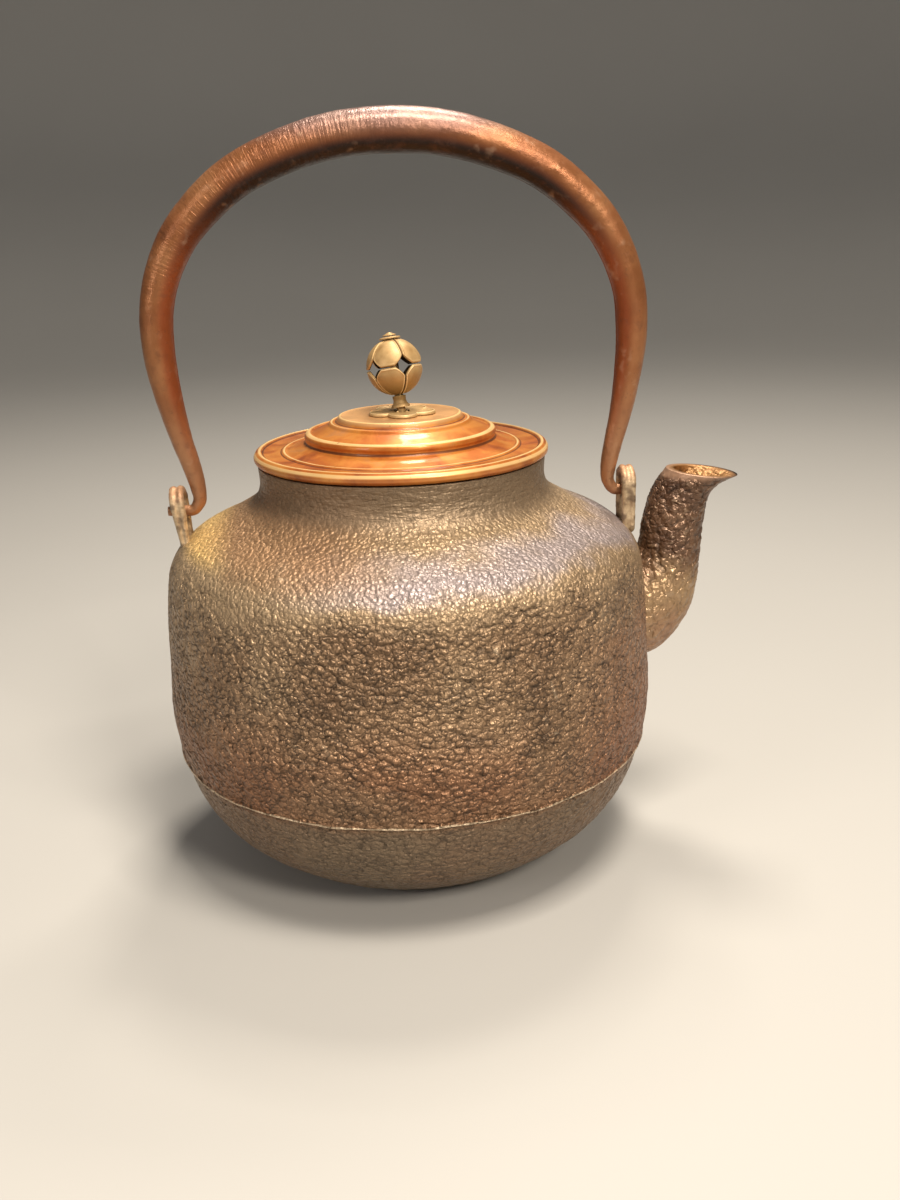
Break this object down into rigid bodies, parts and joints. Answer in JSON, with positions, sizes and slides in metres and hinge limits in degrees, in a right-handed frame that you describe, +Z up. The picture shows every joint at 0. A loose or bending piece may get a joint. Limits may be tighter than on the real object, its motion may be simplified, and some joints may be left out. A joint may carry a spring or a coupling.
{
  "type": "cast iron teapot",
  "caption": "Squat cast-iron kettle with a curved spout, a swinging bail handle and a stepped copper lid with an openwork ball knob.",
  "frame": {"origin": "centre of the kettle's flat base, on the surface that it stands on", "axes": "+Z up through the lid's knob, +X towards the spout, the handle swings about an axis along X"},
  "size_m": [0.1995, 0.1676, 0.248],
  "materials": {
    "cast_iron_body": "pebbled cast skin with a dark brown patina, semi-gloss",
    "cast_iron_spout": "lumpy cast skin, dark brown patina",
    "lug_iron": "pitted iron, worn paler on its edges",
    "forged_iron": "folded and hammered iron, reddish-brown lacquered patina, satin",
    "copper": "copper with a mottled orange-brown patina, polished",
    "bronze": "worn bronze, darker in its hollows"
  },
  "bodies": {
    "kettle": {"kettle_body": "cast_iron_body", "spout": "cast_iron_spout", "lug_spout_side": "lug_iron", "lug_rear": "lug_iron"},
    "bail": {"handle": "forged_iron"},
    "lid": {"lid_disc": "copper", "lid_flange": "copper", "knob_seat": "bronze", "stem_bush": "bronze", "knob_stem": "bronze", "stem_washer": "bronze", "knob_finial": "bronze"},
    "knob": {"knob_lower_blossom": "bronze", "knob_upper_blossom": "bronze", "knob_collar": "bronze"}
  },
  "joints": [
    {"name": "handle_swing", "type": "hinge", "parent": "kettle", "child": "bail", "pos_m": [0, 0, 0.123], "axis": [1, 0, 0], "range_deg": [-100, 100]},
    {"name": "lid_lift", "type": "slide", "parent": "kettle", "child": "lid", "axis": [0, 0, 1], "range_m": [0, 0.05]},
    {"name": "knob_turn", "type": "hinge", "parent": "lid", "child": "knob", "pos_m": [0.0008, 0, 0.1517], "axis": [-0.1132, 0.1383, 0.9839], "continuous": true}
  ]
}
